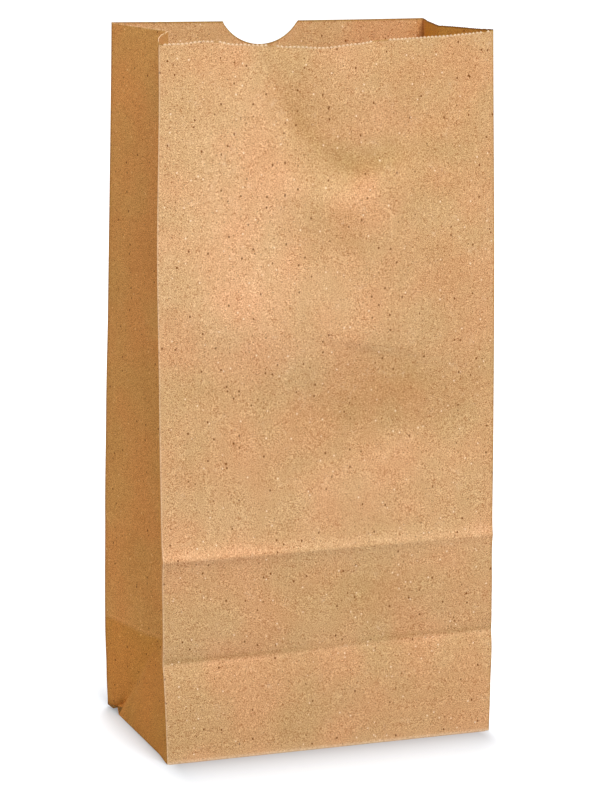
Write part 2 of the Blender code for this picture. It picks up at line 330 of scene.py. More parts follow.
def gusset_section(size, side, run, z):
    """Distance back and inward of the paper at a run from the gusset's edge.

    The paper keeps its length. Below the foot's height the crease splits into two
    diagonals, and the paper turns flat again where the run passes the height z.
    """
    sine = crease_tuck(size, side, z) / (size.depth / 2)
    folded = np.minimum(run, z)
    return folded * np.sqrt(1 - sine ** 2) + (run - folded), folded * sine


def crease_push(across, up, crease):
    """Push of one soft crease, for arrays of places in metres."""
    start, end, push, above, below = crease
    start, end = np.array(start) * MM, np.array(end) * MM
    along = end - start
    length = np.hypot(*along)
    px, pz = across - start[0], up - start[1]
    share = np.clip((px * along[0] + pz * along[1]) / length ** 2, 0, 1)
    dx, dz = px - share * along[0], pz - share * along[1]
    side = (along[0] * dz - along[1] * dx) * np.sign(along[0])
    reach = np.where(side > 0, above, below) * MM
    gap = np.sqrt(dx ** 2 + dz ** 2 + CREASE_SOFTNESS ** 2) - CREASE_SOFTNESS
    return push * MM * np.exp(-(gap / reach) ** CREASE_POWER)


def low_crease(size, across):
    """Height and strength of the lower cross crease along the front panel."""
    side = across / (size.width / 2)
    left, right = smooth((-side - 0.05) / 0.5), smooth((side - 0.05) / 0.6)
    line = size.depth / 2 + LOW_RISE + LOW_SLANT * np.tanh(2 * side)
    return line, LOW_MIDDLE + LOW_LEFT * left + LOW_RIGHT * right


def cross_creases(size, across, z):
    """The front panel's two cross creases, sharpest at the left and faint in the middle."""
    side = across / (size.width / 2)
    line, low = low_crease(size, across)
    high = HIGH_MIDDLE + HIGH_LEFT * smooth(-side / 0.8) + HIGH_RIGHT * smooth(side / 0.8)
    ridge = uneven_fade(z - size.depth - HIGH_RISE, HIGH_REACH)
    return CROSS_PUSH * (high * ridge - low * uneven_fade(z - line, LOW_REACH))


def panel_relief(size, across, z, creases):
    """Outward push of a panel's soft creases, which fade out at its upright folds."""
    edge = smooth((size.width / 2 - np.abs(across)) / PANEL_EDGE)
    return edge * sum(crease_push(across, z, crease) for crease in creases)


def gusset_relief(size, run, z):
    """Outward push of a gusset: its two cross creases and a slack swell."""
    half = size.depth / 2
    low = GUSSET_LOW * uneven_fade(z - half, GUSSET_LOW_REACH)
    high = GUSSET_HIGH * fade(z - size.depth, GUSSET_HIGH_REACH)
    swell = GUSSET_SWELL * arch(z / size.height) ** 2
    return (low + high + swell) * arch(run / half)


def fold_line(size, face, side, z):
    """Place of one of the four upright folds, as X and Y at heights z."""
    out = SIDES[side]
    bulge = out * FOLD_BULGE * arch(z / size.height)
    x = out * size.width / 2 + bulge + MOUTH_SHIFT[face, side] * smooth(z / size.height)
    x = x + eased_path(z, FOLD_DRIFT[face, side])
    y = gusset_section(size, side, np.full_like(z, size.depth / 2), z)[0]
    if face == "back":
        return x, y
    return x, -y - cross_creases(size, np.full_like(z, out * size.width / 2), z)


def rim_height(size, panel, t):
    """Height of the mouth's edge at shares t of a panel, without its teeth."""
    ends = {
        "front": (("front", "left"), ("front", "right")),
        "right": (("front", "right"), ("back", "right")),
        "back": (("back", "left"), ("back", "right")),
        "left": (("front", "left"), ("back", "left")),
    }[panel]
    low, high = MOUTH_RISE[ends[0]], MOUTH_RISE[ends[1]]
    rim = size.height + low + (high - low) * t
    across = (t - 0.5) * size.width
    if panel == "front":
        rim = rim - eased_path(across, RIM_SAG)
    if panel == "right":
        rim = rim - RIGHT_RIM_DROP * smooth(5 * t) * smooth(5 - 5 * t)
    if panel == "back":
        radius = notch_radius(size)
        middle = size.height + low + (high - low) * (0.5 + size.notch_offset / size.width)
        off = across - size.notch_offset
        arc = np.sqrt(np.maximum(radius ** 2 - off ** 2, 0))
        cut = middle - size.notch_depth + radius - arc
        rim = np.where(np.abs(off) <= size.notch_width / 2, np.minimum(rim, cut), rim)
    return rim


def notch_radius(size):
    """Radius of the arc that the thumb notch is cut to."""
    half = size.notch_width / 2
    return (half ** 2 + size.notch_depth ** 2) / (2 * size.notch_depth)


def ear_fold(size, run, z):
    """The slack ear over the foot's corner: new height and outward push.

    The run is measured from the back fold. Below the diagonal, where z is less than
    the run, the paper belongs to the tucked foot.
    """
    share = np.clip(run / EAR_REACH, TINY, 1)
    edge = np.maximum(run - EAR_SAG * arch(share ** EAR_SKEW), 0.12 * run)
    ear_z = z - (run - edge) * bell(z - run, 9 * MM)
    # the foot below the ear ends under it, and rises to it again past the gap
    lift = 0.8 * edge * np.clip((EAR_GAP_END - run) / (EAR_GAP_END - EAR_GAP), 0, 1)
    foot_z = lift + (edge - lift) * z / np.maximum(run, TINY)
    strength = arch(share) ** 0.6 * (0.3 + 0.7 * smooth((19 * MM - run) / (8 * MM)))
    bulge = EAR_BULGE * strength * fade(z - run, 6 * MM)
    recess = EAR_RECESS * strength * fade(z - run, 5 * MM) * smooth(z / (2 * MM))
    on_ear = z >= run - LEVEL_SLACK
    return np.where(on_ear, ear_z, foot_z), np.where(on_ear, bulge, -recess)


def corner_lift(away, z):
    """Rise of the base's back left corner, at a distance from the back left fold."""
    return CORNER_LIFT * smooth(1 - away / CORNER_REACH) * fade(z, CORNER_HEIGHT)


def sheet_points(size, run, level):
    """Points of the sheet's outer face, for arrays of runs round the bag and levels."""
    girth = 2 * (size.width + size.depth)
    run = np.mod(run, girth)
    points = np.zeros((len(run), 3))
    starts = (0, size.width, size.width + size.depth, 2 * size.width + size.depth, girth)
    for panel, start, end in zip(("front", "right", "back", "left"), starts, starts[1:]):
        chosen = (run >= start) & (run < end)
        t = (run[chosen] - start) / (end - start)
        t = t if panel in ("front", "right") else 1 - t
        z = level[chosen].copy()
        above = z > size.depth
        stretch = (rim_height(size, panel, t) - size.depth) / (size.height - size.depth)
        z[above] = size.depth + (z[above] - size.depth) * stretch[above]
        maker = panel_points if panel in ("front", "back") else gusset_points
        points[chosen] = maker(size, panel, t, z)
    return points


def panel_points(size, face, t, z):
    """Points of the front or back panel, at shares t from left to right."""
    left_x, left_y = fold_line(size, face, "left", z)
    right_x, right_y = fold_line(size, face, "right", z)
    x = left_x + (right_x - left_x) * t
    y = left_y + (right_y - left_y) * t
    across = (t - 0.5) * size.width
    bow = PANEL_BOW[face] * 4 * t * (1 - t) * smooth(z / size.height)
    if face == "back":
        push = bow + panel_relief(size, across, z, BACK_CREASES)
        return np.stack([x, y + push, z + corner_lift(size.width * t, z)], 1)
    # the folds' own share of the cross creases is in y, so only the rest is added
    left = cross_creases(size, np.full_like(z, -size.width / 2), z)
    right = cross_creases(size, np.full_like(z, size.width / 2), z)
    push = bow + cross_creases(size, across, z) - left - (right - left) * t
    push += FRONT_CREASE_STRENGTH * panel_relief(size, across, z, FRONT_CREASES)
    return np.stack([x, y - push, z], 1)


def gusset_points(size, side, t, z):
    """Points of a gusset, at shares t from the front fold to the back fold."""
    run = size.depth * np.minimum(t, 1 - t)
    back, inward = gusset_section(size, side, run, z)
    curl = smooth((z - CURL_FROM) / (CURL_TO - CURL_FROM)) * arch(2 * run / size.depth)
    push = gusset_relief(size, run, z) + RIM_CURL * curl * (t < 0.5)
    push -= FOOT_LEAN * fade(z, LEAN_HEIGHT) * smooth(run / LEAN_EDGE)
    drop = APEX_DROP * smooth(2 - 2 * t) * smooth(run / (2 * MM))
    height = z - drop * bell(z - size.depth / 2, APEX_REACH)
    if side == "left":
        rear = t > 0.5
        lifted, ear = ear_fold(size, run[rear], z[rear])
        height[rear] += np.where(z[rear] < size.depth, lifted - z[rear], 0)
        height[rear] += corner_lift(run[rear], height[rear])
        push[rear] += np.where(z[rear] < size.depth, ear, 0)
    near_x, near_y = fold_line(size, "front", side, z)
    far_x, far_y = fold_line(size, "back", side, z)
    full = 2 * gusset_section(size, side, np.full_like(z, size.depth / 2), z)[0]
    share = np.where(t < 0.5, back / full, 1 - back / full)
    x = near_x + (far_x - near_x) * share - SIDES[side] * (inward - push)
    y = near_y + (far_y - near_y) * share
    return np.stack([x, y, height], 1)


def rounded_points(size, run, level):
    """Sheet points with every upright fold eased to a small radius, heights unchanged."""
    middle = sheet_points(size, run, level)
    before = sheet_points(size, run - FOLD_RADIUS, level)
    after = sheet_points(size, run + FOLD_RADIUS, level)
    eased = 0.25 * before + 0.5 * middle + 0.25 * after
    eased[:, 2] = middle[:, 2]
    return eased


# Mesh of the folded sheet

# Columns across the notch; rows between the cross creases, and from the upper one to the rim
NOTCH_COLUMNS, MIDDLE_ROWS, UPPER_ROWS = 30, 19, 87
# Share of the gussets' painted shade on the right one, and above the tucked foot, and the width of
# the line where the foot begins
RIGHT_GUSSET_SHADE, WALL_GUSSET_SHADE, FOOT_LINE = 0.6, 0.8, 1.5 * MM
# Share of the lining's painted shade on the gussets: right one's front half, its rear half, left
# one
LINING_RIGHT, LINING_REAR, LINING_LEFT = 0.8, 1.0, 0.5
# Painted highlight on the front left fold, and on the pinked rim's tips at the front and on the
# left gusset
FOLD_HIGHLIGHT, FRONT_TIP_HIGHLIGHT, LEFT_TIP_HIGHLIGHT = 0.6, 1.9, 1.1
# Tone of the rim where it is straight; painted shade at the roots of its teeth and on the right
# gusset's rim, whose teeth are also shallower; and painted shade in the lines along the front
# panel's two folds
STRAIGHT_RIM_TONE, ROOT_SHADE, RIGHT_RIM_SHADE, RIGHT_TEETH = -0.60, -0.45, -0.85, 0.3
FOLD_SHADE = -0.32


def toothed_runs(start, length, pitch, near_fold):
    """Columns of a toothed stretch, each with its count of teeth so far.

    near_fold says for each end whether it is an upright fold, with columns closer by.
    """
    teeth = max(1, round(length / pitch))
    step = length / teeth
    runs = [i * step for i in range(teeth)]
    for offset in (FOLD_RADIUS, step / 2):
        runs += [offset] * near_fold[0] + [length - offset] * near_fold[1]
    return [(start + run, run / step) for run in sorted(runs)]


def sheet_columns(size):
    """Runs round the bag from the front left fold, with the tooth count at each."""
    width, depth, pitch = size.width, size.depth, size.tooth_pitch
    columns = toothed_runs(0, width, pitch, (1, 1))
    columns += toothed_runs(width, depth, pitch, (1, 1))
    back = width + depth
    to_notch = width / 2 - size.notch_offset - size.notch_width / 2
    columns += toothed_runs(back, to_notch, pitch, (1, 0))
    radius = notch_radius(size)
    reach = math.asin(size.notch_width / 2 / radius)
    for i in range(NOTCH_COLUMNS):
        off = radius * math.sin(reach * (2 * i / NOTCH_COLUMNS - 1)) + size.notch_width / 2
        columns.append((back + to_notch + off, 0.5))
    after = to_notch + size.notch_width
    columns += toothed_runs(back + after, width - after, pitch, (0, 1))
    columns += toothed_runs(back + width, depth, pitch, (1, 1))
    return columns


def sheet_levels(size):
    """Rows of the sheet, closer together at its creases and at its rim."""
    half, depth, height = size.depth / 2, size.depth, size.height
    # as many rows below the apex as columns, so that the diagonals run along the grid
    foot_rows = round(half / (depth / round(depth / size.tooth_pitch)))
    levels = [half * i / foot_rows for i in range(foot_rows + 1)]
    levels += list(np.linspace(half, depth, MIDDLE_ROWS + 1)[1:])
    levels += list(np.linspace(depth, height, UPPER_ROWS + 1)[1:-1])
    for line, offsets in ((0, (0.75,)), (half, (-0.5, 0.5, 1.1)),
                          (depth, (-1.1, -0.5, 0.5, 1.1)), (height, (-0.9, 0))):
        levels += [line + offset * MM for offset in offsets]
    return np.array(sorted(levels))


def sheet_faces(size, columns, levels):
    """Triangles of the walls, split along the gussets' diagonal creases."""
    count = len(columns)
    runs = np.array([run for run, tooth in columns])
    rising = np.zeros(count, bool)
    for start in (size.width, 2 * size.width + size.depth):
        rising |= (runs >= start) & ((runs - start) / size.depth < 0.5)
    rows = len(levels) - 2
    row, column = np.meshgrid(np.arange(rows), np.arange(count), indexing="ij")
    after = (column + 1) % count
    a, b = row * count + column, row * count + after
    c, d = b + count, a + count
    split = rising[column]
    first = np.where(split[..., None], np.stack([a, b, c], -1), np.stack([a, b, d], -1))
    second = np.where(split[..., None], np.stack([a, c, d], -1), np.stack([b, c, d], -1))
    return np.concatenate([first.reshape(-1, 3), second.reshape(-1, 3)]).tolist()


def rim_faces(size, columns, count, rows):
    """The topmost band, with one more vertex for each tooth's tip.

    A tooth needs a stretch of nearly a whole pitch; narrow ones by a fold stay plain.
    """
    girth = 2 * (size.width + size.depth)
    lower, upper = (rows - 2) * count, (rows - 1) * count
    tips, faces = [], []
    for i, (run, tooth) in enumerate(columns):
        after = (i + 1) % count
        far = columns[after][0] if after else girth
        a, b, c, d = lower + i, lower + after, upper + after, upper + i
        if far - run > 0.8 * size.tooth_pitch and tooth == round(tooth):
            tip = rows * count + len(tips)
            tips.append(((run + far) / 2, tooth + 0.5))
            faces += [(a, tip, d), (a, b, tip), (b, c, tip)]
        else:
            faces += [(a, b, c), (a, c, d)]
    return tips, faces


def fold_distance(size, runs):
    """Distance along the paper to the nearest upright fold."""
    width, depth = size.width, size.depth
    folds = (0, width, width + depth, 2 * width + depth, 2 * (width + depth))
    return np.min([np.abs(runs - fold) for fold in folds], axis=0)


def front_painted_shading(size, across, z):
    """Painted light and shade of the front panel: broad patches, along its soft creases and along
    its cross creases.
    """
    tone = np.zeros_like(z)
    for (x, up), (reach_x, reach_z), share in FRONT_PAINTED_SHADING:
        spot = bell(across - x * MM, reach_x * MM) * bell(z - up * MM, reach_z * MM)
        tone += FRONT_SHADING_STRENGTH * share * spot
    for crease_shading in FRONT_CREASE_SHADING:
        tone += crease_push(across, z, crease_shading) / MM
    line, low = low_crease(size, across)
    # painted highlight just below the low cross crease and painted shade just above it, and a
    # painted highlight band above the high one
    pale_below = 0.07 * bell(z - line + 0.9 * MM, 0.8 * MM)
    dark_above = 0.11 * bell(z - line - 0.9 * MM, 1.0 * MM)
    high = 0.12 + 0.03 * smooth(-across / (0.4 * size.width))
    tone += low * (pale_below - dark_above)
    return tone + high * bell(z - size.depth - 2.8 * MM, 1.9 * MM)


def gusset_painted_shading(size, runs, z):
    """Painted light and shade of the gussets: lines along their folds, creases and floor, darker
    below the foot line, paler towards the top, and the painted shadow under the ear.
    """
    half = size.depth / 2
    lines = (
        # gap from the line, reach, and share: painted shade beside the upright folds, painted
        # highlight on the foot's cross crease and on the upper one, painted shade along the floor,
        # painted highlight on the right centre crease
        (fold_distance(size, runs) - 0.7 * MM, 0.6 * MM, FOLD_SHADE),
        (z - half - 0.45 * MM, 0.35 * MM, 0.12),
        (z - size.depth - 1.0 * MM, 1.5 * MM, 0.05),
        (z, 0.5 * MM, -0.35),
        (runs - size.width - half, 0.5 * MM, 0.20),
    )
    tone = sum(share * bell(gap, reach) for gap, reach, share in lines)
    tone -= 0.07 * smooth((half - z) / FOOT_LINE)
    tone += 0.05 * smooth((z - 0.68 * size.height) / (0.2 * size.height))
    rear = runs - (2 * size.width + size.depth)
    # painted shadow along the ear's lower edge, and painted light in the hollow below it
    ear = bell(z - rear - 0.6 * MM, 1.0 * MM) * smooth((15 * MM - rear) / (5 * MM))
    hollow = bell(rear - 14 * MM, 4 * MM) * (z < rear)
    return tone + np.where(rear > 0, 0.15 * hollow - 0.50 * ear, 0)


def painted_paper_shading(size, runs, z):
    """Share by which the paper is painted paler or darker: painted light and shade on its panels,
    gussets and folds, and a darker straight rim.
    """
    on_gusset = gusset_shade_share(size, runs, z) > 0
    tone = np.where(on_gusset, gusset_painted_shading(size, runs, z), 0)
    tone = np.where(runs <= size.width, front_painted_shading(size, runs - size.width / 2, z), tone)
    # painted shade beside the front right fold
    tone += FOLD_SHADE * bell(runs - size.width, 0.6 * MM)
    return np.where(cut_straight(size, runs) & at_rim(size, z), STRAIGHT_RIM_TONE, tone)


def at_rim(size, levels):
    return levels >= size.height - LEVEL_SLACK


def cut_straight(size, runs):
    """Where the rim has no teeth: along the back panel."""
    return (runs >= size.width + size.depth) & (runs <= 2 * size.width + size.depth)


def on_right_gusset(size, runs):
    return (runs > size.width) & (runs < size.width + size.depth)


def gusset_shade_share(size, runs, levels):
    """How much of the gussets' painted shade shows: most at their foot, none on the panels."""
    left = runs > 2 * size.width + size.depth
    foot = smooth((size.depth / 2 - levels) / FOOT_LINE)
    share = RIGHT_GUSSET_SHADE * on_right_gusset(size, runs) + left
    return share * (WALL_GUSSET_SHADE + (1 - WALL_GUSSET_SHADE) * foot)


def lining_shade(size, runs):
    """How much painted shade the inner face has: on both gussets and just past the back right
    fold.
    """
    past = runs - size.width
    rear = smooth((past - size.depth / 2 + 1 * MM) / (2 * MM))
    corner = smooth((past - size.depth + 9 * MM) / (9 * MM))
    right = (LINING_RIGHT + (LINING_REAR - LINING_RIGHT) * rear) * (1 - 0.5 * corner)
    beyond = 0.5 * fade(np.maximum(past - size.depth, 0), 3 * MM)
    left = np.where(runs > 2 * size.width + size.depth, LINING_LEFT, 0)
    return np.where(past <= 0, 0, np.where(past < size.depth, right, np.maximum(beyond, left)))


def ripple_slack(size, runs, levels):
    """How free the paper is to ripple: not at all at its upright folds and at the floor."""
    return smooth(fold_distance(size, runs) / RIPPLE_EDGE) * smooth(levels / RIPPLE_FOOT)


def add_attributes(mesh, layers):
    for name, values in layers.items():
        layer = mesh.attributes.new(name, "FLOAT", "POINT")
        layer.data.foreach_set("value", np.asarray(values, np.float32))


def sheet_layers(size, runs, levels, teeth, is_tip):
    """Values of each vertex of the sheet that its nodes and its materials read."""
    right = on_right_gusset(size, runs)
    share = gusset_shade_share(size, runs, levels)
    # painted highlight along the front left fold, and where the panels fold under at the floor
    wear = FOLD_HIGHLIGHT * bell(runs, 0.4 * MM)
    wear = np.maximum(wear, (share == 0) * bell(levels, 0.9 * MM))
    tone = painted_paper_shading(size, runs, levels)
    # the pinked rim: painted highlight on the tips and painted shade at the roots, all painted
    # dark on the shaded right gusset
    pinked = at_rim(size, levels) & ~cut_straight(size, runs)
    bright = np.where(runs > size.width, LEFT_TIP_HIGHLIGHT, FRONT_TIP_HIGHLIGHT)
    wear[pinked] = (is_tip * np.where(right, 0, bright))[pinked]
    rim_shade = np.where(is_tip, 0, ROOT_SHADE)
    tone[pinked] = np.where(right, RIGHT_RIM_SHADE, rim_shade)[pinked]
    return {
        "rim": np.where(right, RIGHT_TEETH, 1) * pinked, "tooth": teeth,
        "slack": ripple_slack(size, runs, levels), "wear": wear, "tone": tone,
        "gusset": share, "lining": lining_shade(size, runs),
    }


def sheet_mesh(size):
    """The outer face of the whole sheet, walls and bottom, as an open mesh."""
    columns, levels = sheet_columns(size), sheet_levels(size)
    count, rows = len(columns), len(levels)
    tips, faces_rim = rim_faces(size, columns, count, rows)
    runs, teeth = np.concatenate([np.tile(np.transpose(columns), rows), np.transpose(tips)], 1)
    heights = np.append(np.repeat(levels, count), [size.height] * len(tips))
    points = rounded_points(size, runs, heights)
    # rows near the floor stay in order and clear of the glued flaps
    floor = FLAP_PLIES * size.paper
    points[:, 2] = np.maximum(points[:, 2], floor + 0.08 * heights)
    bottom = list(range(count))[::-1]
    mesh = bpy.data.meshes.new("folded_sheet")
    faces = sheet_faces(size, columns, levels) + faces_rim + [bottom]
    mesh.from_pydata(points.tolist(), [], faces)
    is_tip = np.arange(len(runs)) >= count * rows
    add_attributes(mesh, sheet_layers(size, runs, heights, teeth, is_tip))
    return mesh


# Geometry nodes

# Share by which the teeth differ in depth, and the angle past which an edge shades sharp
TOOTH_WANDER, SHARP_ANGLE = 0.35, math.radians(32)


def new_node(tree, kind, inputs=(), **settings):
    """A node with its settings and inputs; an input is a value or another node's output."""
    node = tree.nodes.new(kind)
    for name, value in settings.items():
        setattr(node, name, value)
    for key, value in dict(inputs).items():
        if isinstance(value, bpy.types.NodeSocket):
            tree.links.new(value, node.inputs[key])
        else:
            node.inputs[key].default_value = value
    return node


def calculate(tree, operation, *values):
    node = new_node(tree, "ShaderNodeMath", enumerate(values), operation=operation)
    return node.outputs[0]


def add_sockets(tree, direction, sockets):
    for name, kind in sockets:
        tree.interface.new_socket(name, in_out=direction, socket_type="NodeSocket" + kind)


def pinked_sheet_tree():
    """Cuts the teeth in a sheet's rim and gives the sheet its ripples."""
    tree = bpy.data.node_groups.new("pinked_sheet", "GeometryNodeTree")
    add_sockets(tree, "INPUT", (
        ("Geometry", "Geometry"), ("Tooth Depth", "Float"), ("Tooth Wander", "Float"),
        ("Ripple Height", "Float"), ("Ripple Size", "Float"), ("Seed", "Int"),
        ("Paper", "Material"),
    ))
    add_sockets(tree, "OUTPUT", (("Geometry", "Geometry"),))
    given = tree.nodes.new("NodeGroupInput").outputs
    result = tree.nodes.new("NodeGroupOutput")

    def attribute(name):
        node = new_node(tree, "GeometryNodeInputNamedAttribute", {"Name": name})
        return node.outputs["Attribute"]

    tooth = attribute("tooth")
    saw = calculate(tree, "FRACT", tooth)
    root = calculate(tree, "ABSOLUTE", calculate(tree, "MULTIPLY_ADD", saw, 2.0, -1.0))
    wander = new_node(tree, "FunctionNodeRandomValue", {
        "Min": calculate(tree, "SUBTRACT", 1.0, given["Tooth Wander"]), "Max": 1.0,
        "ID": calculate(tree, "ROUND", tooth), "Seed": given["Seed"],
    }).outputs["Value"]
    drop = calculate(tree, "MULTIPLY", root, calculate(tree, "MULTIPLY", wander, attribute("rim")))
    drop = calculate(tree, "MULTIPLY", drop, given["Tooth Depth"])
    fall = calculate(tree, "MULTIPLY", drop, -1.0)
    pinked = new_node(tree, "GeometryNodeSetPosition", {
        "Geometry": given["Geometry"],
        "Offset": new_node(tree, "ShaderNodeCombineXYZ", {"Z": fall}).outputs[0],
    })
    place = tree.nodes.new("GeometryNodeInputPosition").outputs[0]
    noise = new_node(tree, "ShaderNodeTexNoise", {
        "Vector": place, "W": given["Seed"], "Detail": 3.0, "Roughness": 0.55,
        "Scale": calculate(tree, "DIVIDE", 1.0, given["Ripple Size"]),
    }, noise_dimensions="4D")
    swing = calculate(tree, "MULTIPLY_ADD", noise.outputs[0], 2.0, -1.0)
    height = calculate(tree, "MULTIPLY", given["Ripple Height"], attribute("slack"))
    scaled = new_node(tree, "ShaderNodeVectorMath", {
        0: tree.nodes.new("GeometryNodeInputNormal").outputs[0],
        "Scale": calculate(tree, "MULTIPLY", swing, height),
    }, operation="SCALE")
    rippled = new_node(tree, "GeometryNodeSetPosition", {
        "Geometry": pinked.outputs[0], "Offset": scaled.outputs[0],
    })
    real = new_node(tree, "GeometryNodeRealizeInstances", {"Geometry": rippled.outputs[0]})
    painted = new_node(tree, "GeometryNodeSetMaterial", {
        "Geometry": real.outputs[0], "Material": given["Paper"],
    })
    tree.links.new(painted.outputs[0], result.inputs[0])
    return tree


def set_inputs(modifier, values):
    """Sets a node modifier's inputs by their names."""
    for item in modifier.node_group.interface.items_tree:
        if item.item_type == "SOCKET" and item.in_out == "INPUT" and item.name in values:
            modifier[item.identifier] = values[item.name]


def bake(item):
    """Turns an object's live modifiers into a plain mesh."""
    bpy.context.view_layer.update()
    evaluated = item.evaluated_get(bpy.context.evaluated_depsgraph_get())
    mesh = bpy.data.meshes.new_from_object(evaluated)
    item.modifiers.clear()
    item.data = mesh
    return mesh


def put_in_scene(data, name):
    item = bpy.data.objects.new(name, data)
    bpy.context.collection.objects.link(item)
    return item


def finish_paper(item, size, materials, tree):
    """Pinks and ripples an open sheet, then gives it the paper's thickness."""
    nodes = item.modifiers.new("pinked_sheet", "NODES")
    nodes.node_group = tree
    set_inputs(nodes, {
        "Tooth Depth": size.tooth_depth, "Tooth Wander": TOOTH_WANDER, "Seed": size.seed,
        "Ripple Height": size.ripple_height, "Ripple Size": size.ripple_size,
        "Paper": materials[0],
    })
    mesh = bake(item)
    mesh.materials.clear()
    for material in materials:
        mesh.materials.append(material)
    wall = item.modifiers.new("paper_thickness", "SOLIDIFY")
    wall.thickness = size.paper
    wall.offset = -1
    wall.material_offset = 1
    wall.material_offset_rim = 2
    mesh = bake(item)
    mesh.shade_smooth()
    mesh.set_sharp_from_angle(angle=SHARP_ANGLE)


# Materials

# Strength of the grain on the two faces of the paper and on its cut edge
FACE_GRAIN, EDGE_GRAIN = 4.1, 0.80
# How much each channel swings with the grain, and with clouds, streaks and tone
GRAIN_SWING, TONE_SWING = (0.61, 1.0, 1.29), (0.88, 1.0, 1.65)
# Share of a speck's radius that has its full colour
SPECK_CORE = 0.85


def blend(tree, factor, low, high, how="MIX"):
    """A colour between two, or the first one times the second where how is MULTIPLY."""
    return new_node(tree, "ShaderNodeMix", {0: factor, 6: low, 7: high},
                    data_type="RGBA", blend_type=how).outputs[2]


def paper_pulp_group():
    """Brown pulp: soft patches, grain, bark flecks and pale fibres."""
    tree = bpy.data.node_groups.new("paper_pulp", "ShaderNodeTree")
    add_sockets(tree, "INPUT", (
        ("Paper", "Color"), ("Blush", "Color"), ("Fleck", "Color"), ("Fibre", "Color"),
        ("Grain", "Float"), ("Tone", "Float"), ("Wear", "Float"),
    ))
    add_sockets(tree, "OUTPUT", (("Color", "Color"), ("Roughness", "Float"), ("Height", "Float")))
    given = tree.nodes.new("NodeGroupInput").outputs
    result = tree.nodes.new("NodeGroupOutput")
    place = tree.nodes.new("ShaderNodeTexCoord").outputs["Object"]

    def noise(cell, detail, roughness=0.5, stretch=(1, 1, 1)):
        squeezed = new_node(tree, "ShaderNodeMapping", {"Vector": place, "Scale": stretch})
        return new_node(tree, "ShaderNodeTexNoise", {
            "Vector": squeezed.outputs[0], "Scale": 1 / cell,
            "Detail": detail, "Roughness": roughness,
        }).outputs[0]

    def remap(value, low, high, to_low=0.0, to_high=1.0):
        return new_node(tree, "ShaderNodeMapRange", {
            "Value": value, "From Min": low, "From Max": high,
            "To Min": to_low, "To Max": to_high,
        }).outputs[0]

    def spots(cell, reach, keep, shift, stretch=(1, 1, 1)):
        """Mask of specks, one to a cell, of which only a share is kept."""
        moved = new_node(tree, "ShaderNodeMapping", {
            "Vector": place, "Location": shift, "Scale": stretch,
        })
        cells = new_node(tree, "ShaderNodeTexVoronoi", {
            "Vector": moved.outputs[0], "Scale": 1 / cell,
        })
        near = remap(cells.outputs["Distance"], reach / cell, SPECK_CORE * reach / cell)
        lot = new_node(tree, "ShaderNodeSeparateColor", {"Color": cells.outputs["Color"]})
        kept = calculate(tree, "LESS_THAN", lot.outputs[0], keep)
        return calculate(tree, "MULTIPLY", near, kept)

    def scaled(value, share):
        return calculate(tree, "MULTIPLY", value, share)

    def swung(value, swing):
        """A factor for each channel, which swings round 1 with the value."""
        return new_node(tree, "ShaderNodeCombineColor", {
            name: calculate(tree, "MULTIPLY_ADD", value, share, 1.0 - share)
            for name, share in zip(("Red", "Green", "Blue"), swing)
        }).outputs[0]

    patches = remap(noise(21 * MM, 1.0), 0.36, 0.64)
    colour = blend(tree, patches, given["Paper"], given["Blush"])
    clouds = remap(noise(24 * MM, 3.0, 0.6), 0.3, 0.7, 0.954, 1.046)
    coarse = noise(0.54 * MM, 3.0, 0.7)
    fine = noise(0.30 * MM, 1.0, 0.6)
    mixed = calculate(tree, "MULTIPLY_ADD", coarse, 0.26, scaled(fine, 0.74))
    centred = calculate(tree, "SUBTRACT", mixed, 0.5)
    grain = calculate(tree, "MULTIPLY_ADD", centred, given["Grain"], 1.0)
    colour = blend(tree, 1.0, colour, swung(grain, GRAIN_SWING), "MULTIPLY")
    streaks = remap(noise(1.6 * MM, 2.0, 0.6, (1, 1, 0.12)), 0.3, 0.7, 0.985, 1.015)
    # the tone input carries the painted light and shade of the panels, gussets, folds and rim
    value = scaled(scaled(clouds, streaks), calculate(tree, "ADD", given["Tone"], 1.0))
    colour = blend(tree, 1.0, colour, swung(value, TONE_SWING), "MULTIPLY")

    # bark flecks, smaller motes and pale bits: cell, radius, share kept, shift, stretch
    flecks = spots(2.4 * MM, 0.37 * MM, 0.26, (0, 0, 0), (1, 1, 0.75))
    motes = spots(1.5 * MM, 0.26 * MM, 0.50, (3, 5, 1))
    pale = spots(2.4 * MM, 0.31 * MM, 0.34, (7, 2, 9), (1, 1, 0.8))
    dark = calculate(tree, "MAXIMUM", scaled(flecks, 0.95), scaled(motes, 0.60))
    colour = blend(tree, dark, colour, given["Fleck"])

    # thin fibres run along a contour of a noise, and show only in places
    contour = calculate(tree, "ABSOLUTE", calculate(tree, "SUBTRACT", noise(4.0 * MM, 2.0), 0.5))
    thread = scaled(remap(contour, 0.012, 0.002), remap(noise(6.0 * MM, 1.0), 0.58, 0.66))
    fibres = calculate(tree, "MAXIMUM", scaled(pale, 0.95), scaled(thread, 0.30))
    # the painted highlight on folds and tips shows in the pale fibre colour
    highlit = scaled(given["Wear"], remap(coarse, 0.30, 0.62, 0.25, 0.8))
    fibres = calculate(tree, "MAXIMUM", fibres, highlit)
    colour = blend(tree, fibres, colour, given["Fibre"])

    tree.links.new(colour, result.inputs["Color"])
    tree.links.new(remap(coarse, 0.3, 0.7, 0.78, 0.92), result.inputs["Roughness"])
    height = calculate(tree, "ADD", mixed, scaled(fibres, 0.25))
    tree.links.new(height, result.inputs["Height"])
    return tree


def opaque(colour):
    return tuple(colour) + (1.0,)


